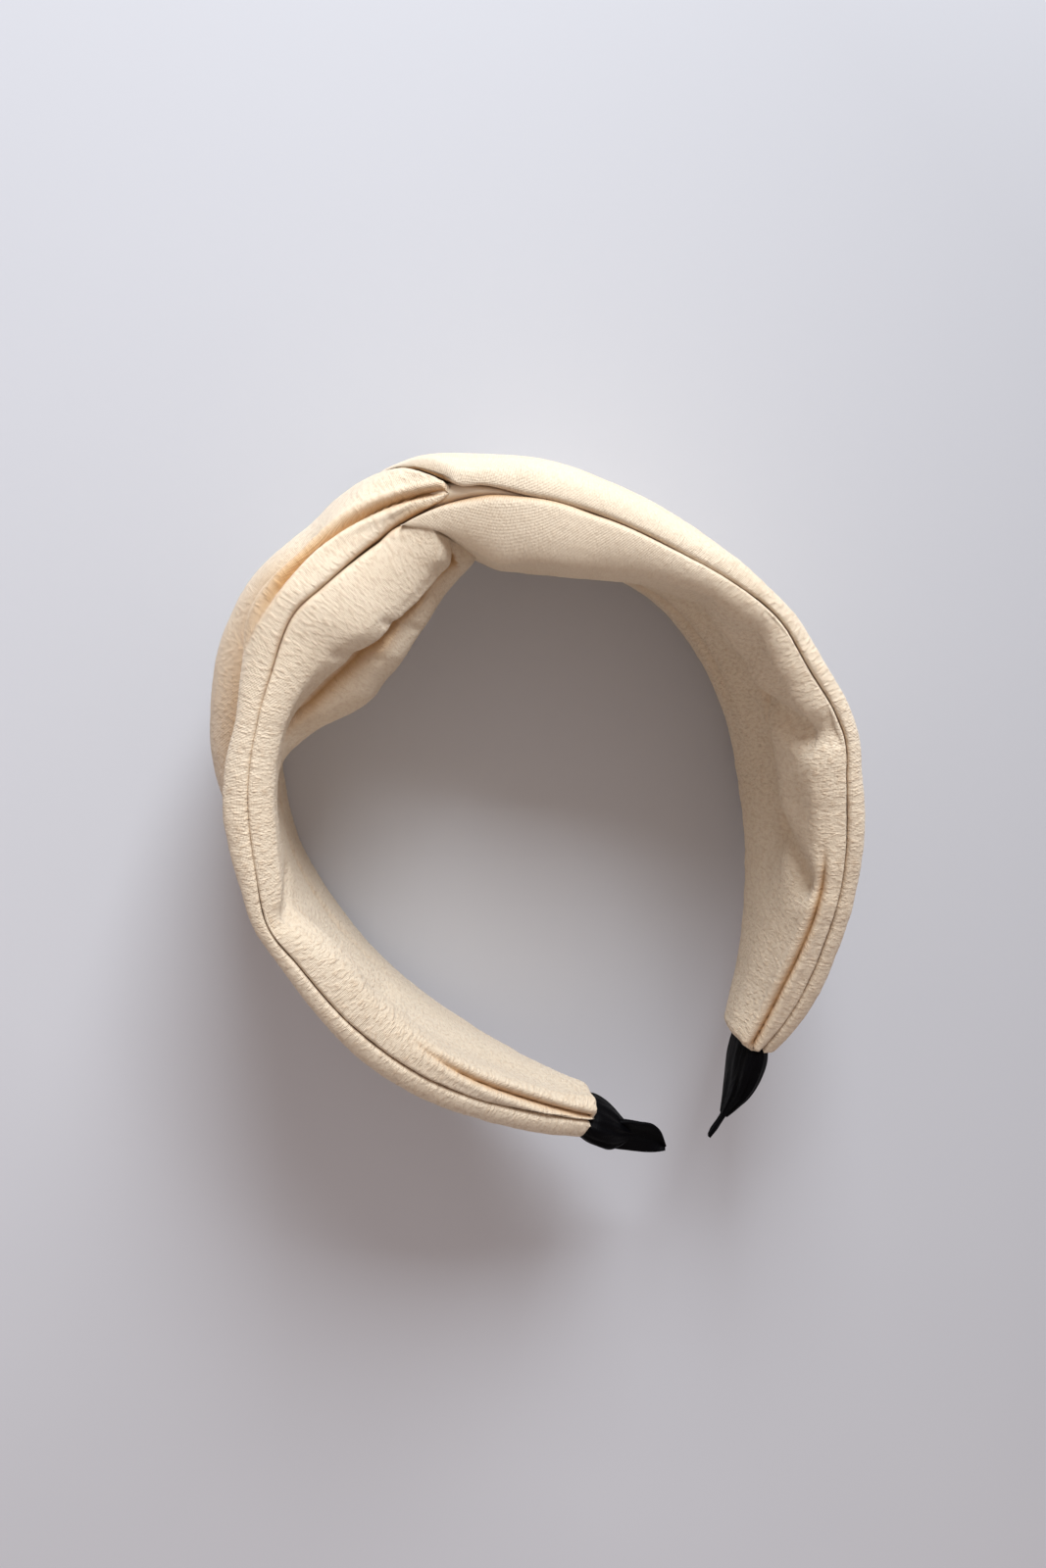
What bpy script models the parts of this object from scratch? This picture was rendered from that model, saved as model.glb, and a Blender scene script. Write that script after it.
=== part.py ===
"""Knotted headband: a springy plastic hoop between two folded tubes of crepe that hook
through each other at the crown, with a black satin wrap on each end of the hoop.

Frame: metres, +Z up, lying on its edge on a table at Z = 0. +Y points from the open gap
to the crown, and +X to the right arm.
Places along the band are given by s, the distance along the hoop from the crown's middle,
by r, the distance outward from the hoop's middle line, and by z.
"""
import math

import bmesh
import bpy
from mathutils import Vector

MM = 0.001
COLLECTION_NAME = "knotted_headband"

# Hoop line: half of it, from the crown's middle to the end of the fabric
CROWN_Y = 68.93 * MM           # the crown's middle in front of the origin
ARM_LENGTH = 178.0 * MM
CURVATURE_CROWN = 17.7         # 1/m
CURVATURE_MIDDLE = 14.7
CURVATURE_END = 4.1
LINE_STEPS = 400

# Band
BAND_WIDTH = 62.0 * MM
BAND_MIDDLE_Z = BAND_WIDTH / 2
END_WIDTH = 17.0 * MM
TAPER_START = 0.5 * ARM_LENGTH
KNOT_PINCH = 8.0 * MM          # each edge comes in this far at the knot
PINCH_REACH = 28.0 * MM

# Plastic hoop
HOOP_THICKNESS = 1.6 * MM
HOOP_WIDTH_CROWN = 25.0 * MM
HOOP_WIDTH_END = 8.0 * MM
HOOP_END_S = 184.0 * MM
HOOP_EDGE_ROUND = 0.35 * MM

# Gaps
GAP = 0.3 * MM
LEG_INNER_R = HOOP_THICKNESS / 2 + GAP

# Shoulders, where each arm springs open
SHOULDER_S = 50.0 * MM
OPEN_CLEARANCE = math.radians(24.0)
CLOSE_CLEARANCE = math.radians(4.0)

# Folded tubes. Each leg's table is (s, how far it stands off the hoop line), in millimetres
BIGHT_THICKNESS = 2.9 * MM
BIGHT_HALF_LENGTH = 10.0 * MM
BIGHT_LIMB = 9.5 * MM
OUTER_LEFT = ((-12, 8.5), (0, 12.0), (42, 11.0), (66, 6.2), (96, 4.9), (178, 3.8))
OUTER_RIGHT = ((-12, 8.5), (0, 12.0), (36, 6.2), (96, 4.9), (178, 3.4))
INNER_LEFT = ((-12, 8.0), (12, 16.0), (36, 16.0), (58, 6.4), (84, 5.0), (104, 6.6), (178, 4.6))
INNER_RIGHT = ((-12, 7.6), (4, 8.4), (24, 13.0), (52, 10.4), (112, 10.4), (178, 4.6))
LEG_LAP = 12.5 * MM            # a leg runs this far past the crown's middle
LAP_CLEAR_S = 14.0 * MM        # and past here it widens to the whole band
LAP_END_S = 27.0 * MM
SECTION_ROUND = 1.4 * MM

# Black end wraps: (s, half of it outward, half of it upward) in millimetres from neck to neck
WRAP_START_S = ARM_LENGTH + GAP
WRAP_LEFT = ((178.3, 3.6, 7.9), (181.0, 3.8, 7.6), (183.6, 3.4, 6.4), (186.0, 2.2, 4.2), (188.0, 1.3, 2.2))
WRAP_RIGHT = ((178.3, 3.0, 7.9), (183.0, 3.4, 7.8), (188.0, 2.8, 6.6), (192.0, 1.9, 4.4), (195.5, 1.2, 2.0))
POCKET_END_S = HOOP_END_S + 2 * GAP
WRAP_POINTS = 16

# Loose tails: (s, half the thickness, half the width) in millimetres, and the turn of the width
TAIL_LEFT = ((188.3, 0.9, 2.4), (190.0, 0.9, 4.2), (194.0, 0.8, 3.9), (197.5, 0.45, 1.0))
TAIL_RIGHT = ((195.8, 0.7, 1.4), (197.5, 0.6, 1.6), (200.0, 0.6, 1.5), (202.35, 0.45, 1.0))
TAIL_TURN_LEFT = math.radians(78.0)
TAIL_TURN_RIGHT = math.radians(12.0)


def clear_scene():
    for obj in list(bpy.data.objects):
        bpy.data.objects.remove(obj, do_unlink=True)


def smooth(value):
    """0 below 0, 1 above 1, and level at both ends."""
    value = min(max(value, 0.0), 1.0)
    return value * value * (3.0 - 2.0 * value)


def between(s, stations):
    """The value at s of a smooth curve through (s, value) stations."""
    if s <= stations[0][0]:
        return stations[0][1]
    for (s0, v0), (s1, v1) in zip(stations, stations[1:]):
        if s <= s1:
            return v0 + (v1 - v0) * smooth((s - s0) / (s1 - s0))
    return stations[-1][1]


def curvature(s):
    """The hoop line's, from a parabola through its values at the crown, halfway and the end."""
    t = min(s / ARM_LENGTH, 1.0)
    bend = 2 * (CURVATURE_CROWN + CURVATURE_END - 2 * CURVATURE_MIDDLE)
    slope = CURVATURE_END - CURVATURE_CROWN - bend
    return CURVATURE_CROWN + slope * t + bend * t * t


def make_hoop_line():
    """Stations (x, y, heading) along the hoop, which is level at the crown."""
    step = ARM_LENGTH / LINE_STEPS
    x, y, heading = 0.0, CROWN_Y, 0.0
    stations = [(x, y, heading)]
    for i in range(int(LINE_STEPS * 1.2)):
        turn = curvature((i + 0.5) * step) * step
        middle = heading + turn / 2
        x += math.cos(middle) * step
        y -= math.sin(middle) * step
        heading += turn
        stations.append((x, y, heading))
    return stations


HOOP_LINE = make_hoop_line()


def hoop_frame(s, side):
    """Point, outward normal and tangent (away from the crown) at s on one side's arm.

    side is 1 for the right half and -1 for the left, and a negative s lies on the other half.
    """
    along = abs(s) / ARM_LENGTH * LINE_STEPS
    i = min(int(along), len(HOOP_LINE) - 2)
    f = along - i
    x, y, heading = (a + (b - a) * f for a, b in zip(HOOP_LINE[i], HOOP_LINE[i + 1]))
    flip = side if s >= 0 else -side
    point = Vector((flip * x, y, 0.0))
    outward = Vector((flip * math.sin(heading), math.cos(heading), 0.0))
    tangent = Vector((side * math.cos(heading), -flip * side * math.sin(heading), 0.0))
    return point, outward, tangent


def place(s, r, z, side):
    point, outward, _ = hoop_frame(s, side)
    return point + outward * r + Vector((0.0, 0.0, z))


def half_width(s):
    """Half the band's width: full to halfway down the arm, then narrowing to the end."""
    s = abs(s)
    taper = min(max((s - TAPER_START) / (ARM_LENGTH - TAPER_START), 0.0), 1.0)
    width = BAND_WIDTH - (BAND_WIDTH - END_WIDTH) * taper * taper
    return width / 2 - KNOT_PINCH * (1.0 - smooth(s / PINCH_REACH))


def hoop_half_width(s):
    return between(s, ((0.0, HOOP_WIDTH_CROWN), (HOOP_END_S, HOOP_WIDTH_END))) / 2


def rounded_section(r0, r1, z0, z1, radius):
    """A rectangle with rounded corners, four points a corner, anticlockwise in (r, z)."""
    radius = min(radius, 0.45 * abs(r1 - r0), 0.45 * abs(z1 - z0))
    corners = ((r1, z0, -90), (r1, z1, 0), (r0, z1, 90), (r0, z0, 180))
    section = []
    for r, z, start in corners:
        centre_r = r - radius if r == r1 else r + radius
        centre_z = z - radius if z == z1 else z + radius
        for step in range(4):
            angle = math.radians(start + 30 * step)
            section.append((centre_r + radius * math.cos(angle), centre_z + radius * math.sin(angle)))
    return section


def spaced(start, end, count):
    return [start + (end - start) * i / (count - 1) for i in range(count)]


def loft(name, rings):
    """A closed mesh skinned over rings of equal length, with one flat face at each end."""
    bm = bmesh.new()
    rows = [[bm.verts.new(point) for point in ring] for ring in rings]
    count = len(rows[0])
    for row, following in zip(rows, rows[1:]):
        for i in range(count):
            j = (i + 1) % count
            bm.faces.new((row[i], row[j], following[j], following[i]))
    bm.faces.new(list(reversed(rows[0])))
    bm.faces.new(rows[-1])
    bmesh.ops.recalc_face_normals(bm, faces=bm.faces)
    mesh = bpy.data.meshes.new(name)
    bm.to_mesh(mesh)
    bm.free()
    return mesh


def add_object(name, mesh, material, pivot=None, sharp_degrees=40):
    """Links a mesh given in world coordinates, under its shoulder's empty if it moves."""
    obj = bpy.data.objects.new(name, mesh)
    obj.data.materials.append(material)
    mesh.shade_smooth()
    mesh.set_sharp_from_angle(angle=math.radians(sharp_degrees))
    bpy.data.collections[COLLECTION_NAME].objects.link(obj)
    if pivot is not None:
        for vertex in mesh.vertices:
            vertex.co -= pivot.location
        obj.parent = pivot
    return obj


def make_material(name, colour, roughness, sheen=0.0):
    material = bpy.data.materials.new(name)
    material.use_nodes = True
    shader = material.node_tree.nodes["Principled BSDF"]
    shader.inputs["Base Color"].default_value = (*colour, 1.0)
    shader.inputs["Roughness"].default_value = roughness
    shader.inputs["Metallic"].default_value = 0.0
    shader.inputs["Sheen Weight"].default_value = sheen
    return material


def add_pivot(side_name, side):
    """An empty on the shoulder's axis, which stands along Z through the hoop line."""
    point, _, _ = hoop_frame(SHOULDER_S, side)
    pivot = bpy.data.objects.new("shoulder_pivot_" + side_name, None)
    pivot.empty_display_size = 0.02
    pivot.location = point
    bpy.data.collections[COLLECTION_NAME].objects.link(pivot)
    return pivot


def ribbon(name, start_s, end_s, side, half_width_at, rows):
    """A sheet on the hoop's line: a grid whose long way runs along s and short way along z."""
    bm = bmesh.new()
    bmesh.ops.create_grid(bm, x_segments=rows, y_segments=3, size=1.0)
    for vertex in bm.verts:
        s = start_s + (end_s - start_s) * (vertex.co.x + 1) / 2
        z = BAND_MIDDLE_Z + vertex.co.y * half_width_at(s)
        vertex.co = place(s, 0.0, z, side)
    mesh = bpy.data.meshes.new(name)
    bm.to_mesh(mesh)
    bm.free()
    return mesh


def thicken(obj, thickness, edge_round=0.0):
    solidify = obj.modifiers.new("thickness", "SOLIDIFY")
    solidify.thickness = thickness
    solidify.offset = 0.0
    solidify.use_even_offset = True
    if edge_round:
        bevel = obj.modifiers.new("rounded_edges", "BEVEL")
        bevel.width = edge_round
        bevel.segments = 1
        bevel.limit_method = "ANGLE"
        bevel.angle_limit = math.radians(50)


def add_hoop_crown(plastic):
    reach = SHOULDER_S - GAP / 2
    mesh = ribbon("hoop_crown", -reach, reach, 1, lambda s: hoop_half_width(abs(s)), 14)
    thicken(add_object("hoop_crown", mesh, plastic), HOOP_THICKNESS, HOOP_EDGE_ROUND)


def add_hoop_arm(side_name, side, plastic, pivot):
    opening = HOOP_THICKNESS / 2 * math.tan(OPEN_CLEARANCE)
    start = SHOULDER_S + opening + GAP
    name = "hoop_arm_" + side_name
    mesh = ribbon(name, start, HOOP_END_S, side, hoop_half_width, 16)
    thicken(add_object(name, mesh, plastic, pivot), HOOP_THICKNESS, HOOP_EDGE_ROUND)


def leg_heights(s, side):
    """Lowest and highest z of a leg. Past the crown it keeps to its own half of the knot.

    The right tube's legs lap over the upper half, and the left tube's over the lower half.
    """
    low = BAND_MIDDLE_Z - half_width(s)
    high = BAND_MIDDLE_Z + half_width(s)
    narrowing = 1.0 - smooth((s - LAP_CLEAR_S) / (LAP_END_S - LAP_CLEAR_S))
    middle_gap = 1.0 * MM
    if side > 0:
        low += (BAND_MIDDLE_Z + middle_gap - low) * narrowing
    else:
        high -= (high - BAND_MIDDLE_Z + middle_gap) * narrowing
    return low, high


def leg_root_r(s):
    """Where a leg's hoop side lies: over the other tube's bight at the crown, then on the hoop."""
    over_bight = LEG_INNER_R + BIGHT_THICKNESS + GAP
    return over_bight + (LEG_INNER_R - over_bight) * smooth((s - LAP_CLEAR_S) / (LAP_END_S - LAP_CLEAR_S))


def leg_ring(s, side, layer, thickness):
    near = layer * leg_root_r(s)
    far = layer * between(s / MM, thickness) * MM
    section = rounded_section(min(near, far), max(near, far), *leg_heights(s, side), SECTION_ROUND)
    return [place(s, r, z, side) for r, z in section]


def shoulder_ring(side, layer, thickness, tilt):
    """An arm's first ring, which leans away from the crown so that the shoulder can turn."""
    point, outward, tangent = hoop_frame(SHOULDER_S, side)
    near = layer * LEG_INNER_R
    far = layer * between(SHOULDER_S / MM, thickness) * MM
    heights = leg_heights(SHOULDER_S, side)
    section = rounded_section(min(near, far), max(near, far), *heights, SECTION_ROUND)
    ring = []
    for r, z in section:
        lean = GAP + abs(r) * math.tan(tilt)
        ring.append(point + outward * r + tangent * lean + Vector((0.0, 0.0, z)))
    return ring


def add_leg_crown(layer_name, layer, side_name, side, thickness, crepe):
    stations = spaced(-LEG_LAP, LAP_CLEAR_S, 6) + spaced(18 * MM, LAP_END_S + MM, 4)
    stations += spaced(34 * MM, SHOULDER_S - GAP / 2, 3)
    rings = [leg_ring(s, side, layer, thickness) for s in stations]
    name = "%s_leg_crown_%s" % (layer_name, side_name)
    add_object(name, loft(name, rings), crepe)


def add_leg_arm(layer_name, layer, side_name, side, thickness, tilt, crepe, pivot):
    stations = spaced(SHOULDER_S + 7 * MM, TAPER_START, 5)
    stations += spaced(TAPER_START + 9 * MM, ARM_LENGTH, 9)
    rings = [shoulder_ring(side, layer, thickness, tilt)]
    rings += [leg_ring(s, side, layer, thickness) for s in stations]
    name = "%s_leg_arm_%s" % (layer_name, side_name)
    add_object(name, loft(name, rings), crepe, pivot)


def add_bight(side_name, edge, crepe):
    """The fold of one tube round an edge of the hoop: a U-shaped sheet with thickness.

    edge is 1 for the upper edge of the hoop, which the left tube goes round, and -1 for the
    lower edge, which the right tube goes round.
    """
    bm = bmesh.new()
    bmesh.ops.create_grid(bm, x_segments=6, y_segments=12, size=1.0)
    limb_r = LEG_INNER_R + BIGHT_THICKNESS / 2
    edge_z = hoop_half_width(0.0) + GAP
    bend = math.pi * limb_r
    half_length = BIGHT_LIMB + bend / 2
    for vertex in bm.verts:
        s = vertex.co.x * BIGHT_HALF_LENGTH
        along = vertex.co.y * half_length
        if abs(along) <= bend / 2:
            angle = along / limb_r
            r = limb_r * math.sin(angle)
            z = edge_z + limb_r * math.cos(angle)
        else:
            r = math.copysign(limb_r, along)
            z = edge_z - (abs(along) - bend / 2)
        vertex.co = place(s, r, BAND_MIDDLE_Z + edge * z, 1)
    bmesh.ops.recalc_face_normals(bm, faces=bm.faces)
    name = "knot_bight_" + side_name
    mesh = bpy.data.meshes.new(name)
    bm.to_mesh(mesh)
    bm.free()
    thicken(add_object(name, mesh, crepe), BIGHT_THICKNESS)


def oval_ring(s, side, half_r, half_z, turn=0.0):
    """A soft oval round the hoop line, half_r outward and half_z upward before the turn."""
    ring = []
    for i in range(WRAP_POINTS):
        angle = math.tau * i / WRAP_POINTS
        r = half_r * math.copysign(abs(math.cos(angle)) ** 0.8, math.cos(angle))
        z = half_z * math.copysign(abs(math.sin(angle)) ** 0.8, math.sin(angle))
        turned_r = r * math.cos(turn) - z * math.sin(turn)
        turned_z = r * math.sin(turn) + z * math.cos(turn)
        ring.append(place(s, turned_r, BAND_MIDDLE_Z + turned_z, side))
    return ring


def add_end_wrap(side_name, side, outline, satin, pivot):
    """The satin wrap: a cap whose pocket the end of the hoop goes into."""
    pocket_r = HOOP_THICKNESS / 2 + GAP
    pocket_z = HOOP_WIDTH_END / 2 + 3 * GAP
    rings = [oval_ring(s, side, pocket_r, pocket_z) for s in (POCKET_END_S, WRAP_START_S)]
    rings += [oval_ring(s * MM, side, r * MM, z * MM) for s, r, z in outline]
    name = "end_wrap_" + side_name
    add_object(name, loft(name, rings), satin, pivot)


def add_end_tail(side_name, side, outline, turn, satin, pivot):
    """The flat loose end of the wrap, turned about the line of the hoop."""
    rings = [oval_ring(s * MM, side, r * MM, z * MM, turn) for s, r, z in outline]
    name = "end_tail_" + side_name
    add_object(name, loft(name, rings), satin, pivot)


def add_side(side_name, side, legs, tip, plastic, crepe, satin):
    """One arm, and the legs of the tube that goes down it."""
    pivot = add_pivot(side_name, side)
    add_hoop_arm(side_name, side, plastic, pivot)
    layers = (("outer", 1, OPEN_CLEARANCE), ("inner", -1, CLOSE_CLEARANCE))
    for (layer_name, layer, tilt), thickness in zip(layers, legs):
        add_leg_crown(layer_name, layer, side_name, side, thickness, crepe)
        add_leg_arm(layer_name, layer, side_name, side, thickness, tilt, crepe, pivot)
    wrap_outline, tail_outline, tail_turn = tip
    add_end_wrap(side_name, side, wrap_outline, satin, pivot)
    add_end_tail(side_name, side, tail_outline, tail_turn, satin, pivot)


def main():
    clear_scene()
    collection = bpy.data.collections.new(COLLECTION_NAME)
    bpy.context.scene.collection.children.link(collection)
    plastic = make_material("hoop_plastic", (0.85, 0.84, 0.80), 0.45)
    crepe = make_material("cream_crepe", (0.83, 0.72, 0.56), 0.85, sheen=0.3)
    satin = make_material("black_satin", (0.012, 0.012, 0.014), 0.5, sheen=0.2)

    add_hoop_crown(plastic)
    add_bight("left", 1, crepe)
    add_bight("right", -1, crepe)
    add_side("left", -1, (OUTER_LEFT, INNER_LEFT), (WRAP_LEFT, TAIL_LEFT, TAIL_TURN_LEFT),
             plastic, crepe, satin)
    add_side("right", 1, (OUTER_RIGHT, INNER_RIGHT), (WRAP_RIGHT, TAIL_RIGHT, TAIL_TURN_RIGHT),
             plastic, crepe, satin)


main()
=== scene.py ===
"""The knotted headband's looks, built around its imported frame.

A place on a leg is (a, share): a is the distance from the crown's middle along the leg's
own arm, in millimetres, and share runs from 0 at the band's upper edge to 1 at its lower.
Heights off the hoop line are in millimetres too. place() turns all of it into metres.
"""
import math

import bpy
import numpy as np
from mathutils import Matrix, Vector


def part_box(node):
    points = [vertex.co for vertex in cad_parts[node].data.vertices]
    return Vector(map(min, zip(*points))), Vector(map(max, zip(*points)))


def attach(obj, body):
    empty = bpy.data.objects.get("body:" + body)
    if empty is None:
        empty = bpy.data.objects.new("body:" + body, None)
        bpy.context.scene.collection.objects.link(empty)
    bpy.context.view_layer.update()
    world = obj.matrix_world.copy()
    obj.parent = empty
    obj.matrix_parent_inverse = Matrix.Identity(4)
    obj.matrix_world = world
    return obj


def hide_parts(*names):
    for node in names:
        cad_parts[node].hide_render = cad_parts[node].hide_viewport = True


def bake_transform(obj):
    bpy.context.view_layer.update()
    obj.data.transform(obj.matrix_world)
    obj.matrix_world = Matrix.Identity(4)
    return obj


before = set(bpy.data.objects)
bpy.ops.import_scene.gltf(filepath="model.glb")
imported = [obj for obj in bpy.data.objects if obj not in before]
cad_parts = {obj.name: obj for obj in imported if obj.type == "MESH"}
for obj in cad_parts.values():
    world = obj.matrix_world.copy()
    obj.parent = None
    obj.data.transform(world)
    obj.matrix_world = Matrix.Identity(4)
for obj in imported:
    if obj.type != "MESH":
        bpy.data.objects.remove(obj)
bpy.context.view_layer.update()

MM = 0.001

# Hoop line, as the part's own design has it
ARM = 178.0
CURVATURE = (17.7, 14.7, 4.1)      # 1/m at the crown, halfway and at the fabric's end
HOOP_THICKNESS = 1.6
LINE_STEPS = 400
LINE_REACH = 1.25                  # how far past the fabric's end the line goes on
CROWN_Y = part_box("hoop_crown")[1].y / MM - HOOP_THICKNESS / 2
BAND_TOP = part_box("outer_leg_arm_right")[1].z / MM
BAND_MIDDLE = BAND_TOP / 2
END_HALF_WIDTH = 8.5
TAPER_START = ARM / 2
KNOT_PINCH = 8.0
PINCH_REACH = 28.0
FLOOR_GAP = 0.15

NOISE_CELLS = 256      # cells across the wrinkles' noise before it repeats

# Mesh density of the cloth: sections along a leg, and columns round each section
RINGS = 400
COLUMNS = 60
TOP_STEPS = 20
LOW_STEPS = 5
SIM_RINGS = 90
SIM_COLUMNS = 22
SIM_STEPS = 3

# The cloth simulation that fills each leg out
SIM_FRAMES = 18
SIM_PRESSURE = 1.6
SIM_SPARE_CLOTH = -0.015    # below 0, the cloth is cut that share larger than its shape
SIM_OUT = 0.7               # the most a point moves out, and in or sideways
SIM_IN = 0.35
SIM_EVENED = 6              # passes that even the moves out
SIM_HELD_RINGS = 4          # sections held where a leg starts, one fewer where it ends
SIM_HELD_EDGE = 0.03        # share held along each rolled edge


# ---------------------------------------------------------------- numbers and lines

def hermite(keys, values, slopes, i, x):
    h = keys[i + 1] - keys[i]
    t = (x - keys[i]) / h
    low, high = values
    slope_low, slope_high = slopes
    return (
        (2 * t**3 - 3 * t**2 + 1) * low + (t**3 - 2 * t**2 + t) * h * slope_low
        + (3 * t**2 - 2 * t**3) * high + (t**3 - t**2) * h * slope_high
    )


def spline(keys, values, x):
    """A smooth curve through (keys, values), held level past its ends."""
    keys = np.asarray(keys, float)
    values = np.asarray(values, float)
    x = np.clip(np.asarray(x, float), keys[0], keys[-1])
    slopes = np.gradient(values, keys)
    i = np.clip(np.searchsorted(keys, x, side="right") - 1, 0, len(keys) - 2)
    return hermite(keys, (values[i], values[i + 1]), (slopes[i], slopes[i + 1]), i, x)


def surface(stations, shares, table, a, share):
    """A smooth height over (a, share), from a table with one row for each station."""
    table = np.asarray(table, float)
    keys = np.asarray(shares, float)
    a, share = np.broadcast_arrays(np.asarray(a, float), np.asarray(share, float))
    columns = np.stack([spline(stations, table[:, j], a) for j in range(len(keys))], axis=-1)
    slopes = np.gradient(columns, keys, axis=-1)
    share = np.clip(share, keys[0], keys[-1])
    i = np.clip(np.searchsorted(keys, share, side="right") - 1, 0, len(keys) - 2)

    def pick(grid, index):
        return np.take_along_axis(grid, index[..., None], axis=-1)[..., 0]

    values = (pick(columns, i), pick(columns, i + 1))
    ends = (pick(slopes, i), pick(slopes, i + 1))
    return hermite(keys, values, ends, i, share)


def smooth(x):
    """Eases from 0 to 1 as x does, level at both ends."""
    x = np.clip(x, 0.0, 1.0)
    return x * x * (3 - 2 * x)


def quarter_round(x):
    """Rises from 0 to 1 as a quarter circle does."""
    return np.sqrt(1 - (1 - np.clip(x, 0, 1)) ** 2)


def hoop_line():
    """Points and headings along half the hoop, from the crown's middle."""
    step = ARM / LINE_STEPS
    bend = 2 * (CURVATURE[0] + CURVATURE[2] - 2 * CURVATURE[1])
    slope = CURVATURE[2] - CURVATURE[0] - bend
    count = int(LINE_STEPS * LINE_REACH)
    t = np.minimum((np.arange(count) + 0.5) / LINE_STEPS, 1.0)
    turn = (CURVATURE[0] + slope * t + bend * t * t) * step * MM
    heading = np.concatenate([[0.0], np.cumsum(turn)])
    middle = heading[:-1] + turn / 2
    x = np.concatenate([[0.0], np.cumsum(np.cos(middle) * step)])
    y = CROWN_Y - np.concatenate([[0.0], np.cumsum(np.sin(middle) * step)])
    return x, y, heading


LINE_X, LINE_Y, LINE_HEADING = hoop_line()


def place(s, r, z):
    """World points, in metres, for s along the band (left is negative), r outward and z up."""
    s, r, z = np.broadcast_arrays(np.asarray(s, float), np.asarray(r, float), np.asarray(z, float))
    along = np.abs(s) / ARM * LINE_STEPS
    index = np.arange(len(LINE_X))
    sign = np.where(s < 0, -1.0, 1.0)
    x = sign * np.interp(along, index, LINE_X)
    y = np.interp(along, index, LINE_Y)
    heading = np.interp(along, index, LINE_HEADING)
    points = np.stack([x + r * sign * np.sin(heading), y + r * np.cos(heading), z], axis=-1)
    return points * MM


def half_width(s):
    """Half the band's width at s: less at the knot, and less and less towards the ends."""
    s = np.abs(s)
    taper = np.clip((s - TAPER_START) / (ARM - TAPER_START), 0, 1)
    width = BAND_MIDDLE - (BAND_MIDDLE - END_HALF_WIDTH) * taper**2
    return width - KNOT_PINCH * (1 - smooth(s / PINCH_REACH))


def value_noise(u, v, seed):
    """Smooth noise in -1..1 over the plane, one unit to a cell."""
    rng = np.random.default_rng(seed)
    size = NOISE_CELLS
    lattice = rng.uniform(-1, 1, (size, size))
    iu = np.floor(u).astype(int)
    iv = np.floor(v).astype(int)
    fu = smooth(u - iu)
    fv = smooth(v - iv)
    c00 = lattice[iu % size, iv % size]
    c10 = lattice[(iu + 1) % size, iv % size]
    c01 = lattice[iu % size, (iv + 1) % size]
    c11 = lattice[(iu + 1) % size, (iv + 1) % size]
    return (c00 * (1 - fu) + c10 * fu) * (1 - fv) + (c01 * (1 - fu) + c11 * fu) * fv


# ---------------------------------------------------------------- meshes

def new_mesh_object(name, points, faces, material, uvs=None, fold_shade=None, crinkled=None):
    """A smooth mesh from points in metres, with its cloth map.

    The fold shade given is how much shade is painted on each point, in its folds and creases, and
    crinkled how crinkled the cloth is there.
    """
    mesh = bpy.data.meshes.new(name)
    mesh.from_pydata(points.reshape(-1, 3).tolist(), [], faces)
    mesh.validate()
    mesh.shade_smooth()
    if uvs is not None:
        layer = mesh.uv_layers.new(name="cloth")
        corners = np.empty(len(mesh.loops), int)
        mesh.loops.foreach_get("vertex_index", corners)
        layer.data.foreach_set("uv", uvs.reshape(-1, 2)[corners].ravel().astype(np.float32))
    for attribute_name, values in (("fold_shade", fold_shade), ("crinkled", crinkled)):
        if values is not None:
            attribute = mesh.attributes.new(attribute_name, "FLOAT", "POINT")
            attribute.data.foreach_set("value", values.ravel().astype(np.float32))
    obj = bpy.data.objects.new(name, mesh)
    bpy.context.scene.collection.objects.link(obj)
    mesh.materials.append(material)
    return obj


def tube_faces(rings, loop, flip):
    """The quads of a tube of closed rings."""
    i, j = np.meshgrid(np.arange(rings - 1), np.arange(loop), indexing="ij")
    k = (j + 1) % loop
    quads = np.stack([i * loop + j, i * loop + k, (i + 1) * loop + k, (i + 1) * loop + j], axis=-1)
    quads = quads.reshape(-1, 4)
    return (quads if flip else quads[:, ::-1]).tolist()


def grid_normals(points):
    """Unit normals of a tube's grid of points, ring by ring."""
    along = np.gradient(points, axis=0)
    across = np.roll(points, -1, axis=1) - np.roll(points, 1, axis=1)
    normal = np.cross(along, across)
    return normal / np.maximum(np.linalg.norm(normal, axis=-1, keepdims=True), 1e-9)


# ---------------------------------------------------------------- cloth legs

LIP = 2.6                 # how far a leg's leading edge takes to reach its thickness
LIP_LEAST = 0.1           # how thick it is right at that edge, as a share
END_ROLL = 1.6            # the same two for its far end
END_LEAST = 0.3
BACK_ROLL = 0.5           # the hidden side's rolled edge, as a share of the shown side's
CREASE_SHOULDER = 0.26    # the rise beside a crease, as a share of its drop
CREASE_FULL = 1.6         # the drop from which a crease has its full painted shade
CREASE_SHADE = 1.5        # how far a crease's painted shade reaches, in widths, and how sharply it ends, where the crease doesn't say
CREASE_FADE = 1.5         # where the crease doesn't say
BACK_WRINKLES = 4.0       # how far the wrinkles reach over the upper edge onto the hidden side
BACK_SHADE = (0.5, 2.4)   # where the painted shade starts past that edge, and its run to full
BACK_SHARES = (0.0, 0.08, 0.2, 0.3, 0.5, 0.7, 0.8, 1.0)
ON_HOOP = (0.03, 0.03, 0.4, 1.1, 1.1, 1.1, 0.5, 0.15)


def back_columns(count, top_steps, low_steps):
    """The columns that the hidden side keeps: its rolled edges, and a few between."""
    high = np.arange(2, top_steps + 2, 2)
    middle = np.arange(top_steps + 3, count - low_steps - 2, 6)
    low = np.arange(count - low_steps - 2, count - 1)
    return np.concatenate([high, middle, low])[::-1]


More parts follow.
